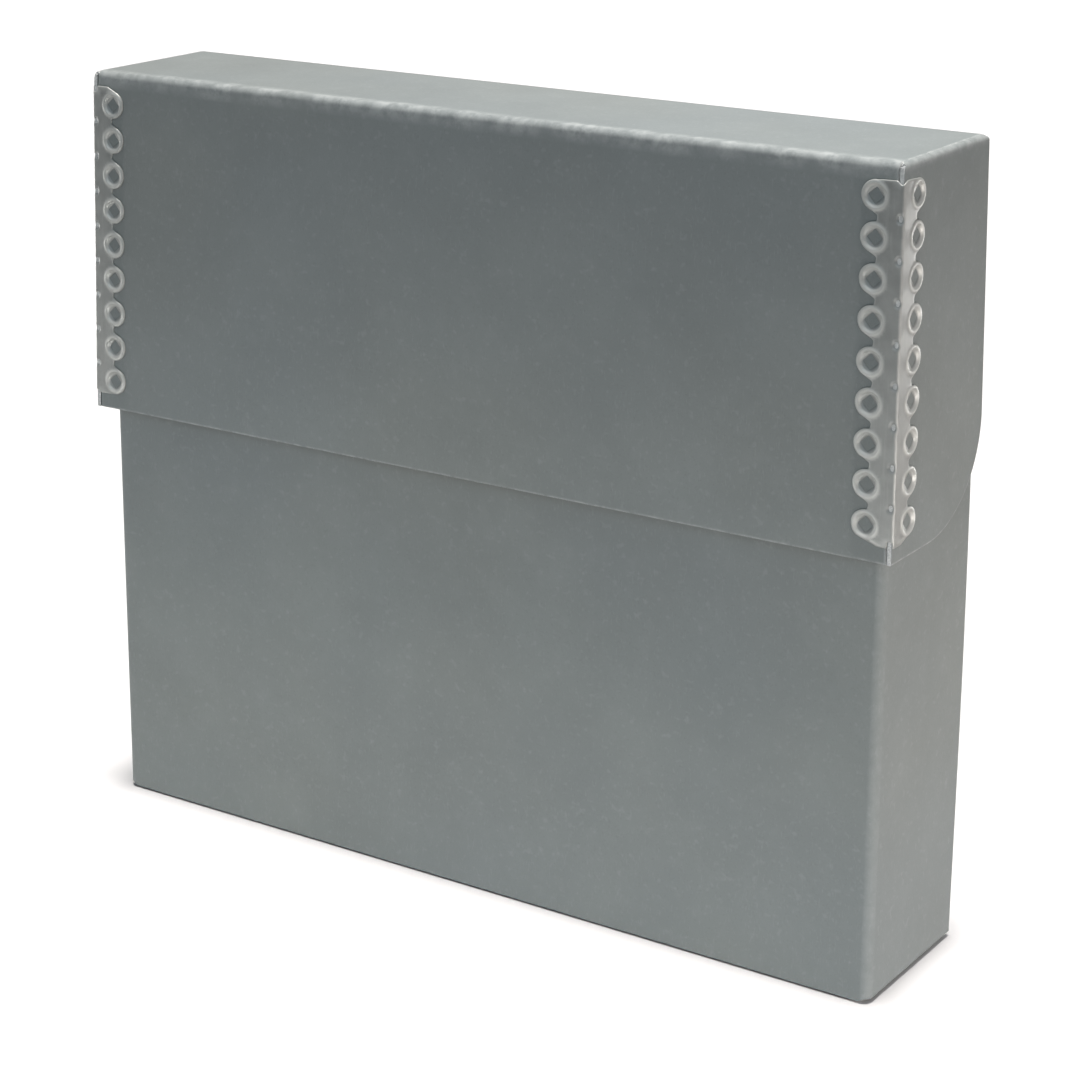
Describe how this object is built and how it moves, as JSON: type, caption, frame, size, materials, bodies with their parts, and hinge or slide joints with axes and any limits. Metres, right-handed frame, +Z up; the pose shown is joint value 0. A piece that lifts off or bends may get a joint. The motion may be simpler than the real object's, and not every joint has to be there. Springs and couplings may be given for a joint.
{
  "type": "archival document box",
  "caption": "Upright flip-top document case of folded grey board; the hinged lid has scalloped metal corner stays with square holes.",
  "frame": {"origin": "centre of the bounding box's underside, on the surface that the box stands on", "axes": "+Z up; the front, with the lid's long flap, faces -Y; +X is to the right seen from the front"},
  "size_m": [0.316, 0.0614, 0.266],
  "materials": {
    "case_board": "matt grey fibre board",
    "inner_board": "matt pale grey fibre board",
    "lid_board": "matt grey fibre board",
    "stay_metal": "thin grey lacquer over pressed steel strip"
  },
  "bodies": {
    "case": {"front_panel": "case_board", "back_panel": "case_board", "rear_crease": "case_board", "bottom_panel": "inner_board", "outer_end_wall_left": "case_board", "outer_end_wall_right": "case_board", "inner_end_wall_left": "case_board", "inner_end_wall_right": "case_board", "bottom_end_tab_left": "inner_board", "bottom_end_tab_right": "inner_board"},
    "lid": {"lid_top_panel": "lid_board", "lid_front_flap": "lid_board", "lid_side_flap_left": "lid_board", "lid_side_flap_right": "lid_board", "corner_stay_left": "stay_metal", "corner_stay_right": "stay_metal"}
  },
  "joints": [
    {"name": "lid_hinge", "type": "hinge", "parent": "case", "child": "lid", "pos_m": [0, 0.03074, 0.266], "axis": [-1, 0, 0], "range_deg": [0, 250]}
  ]
}
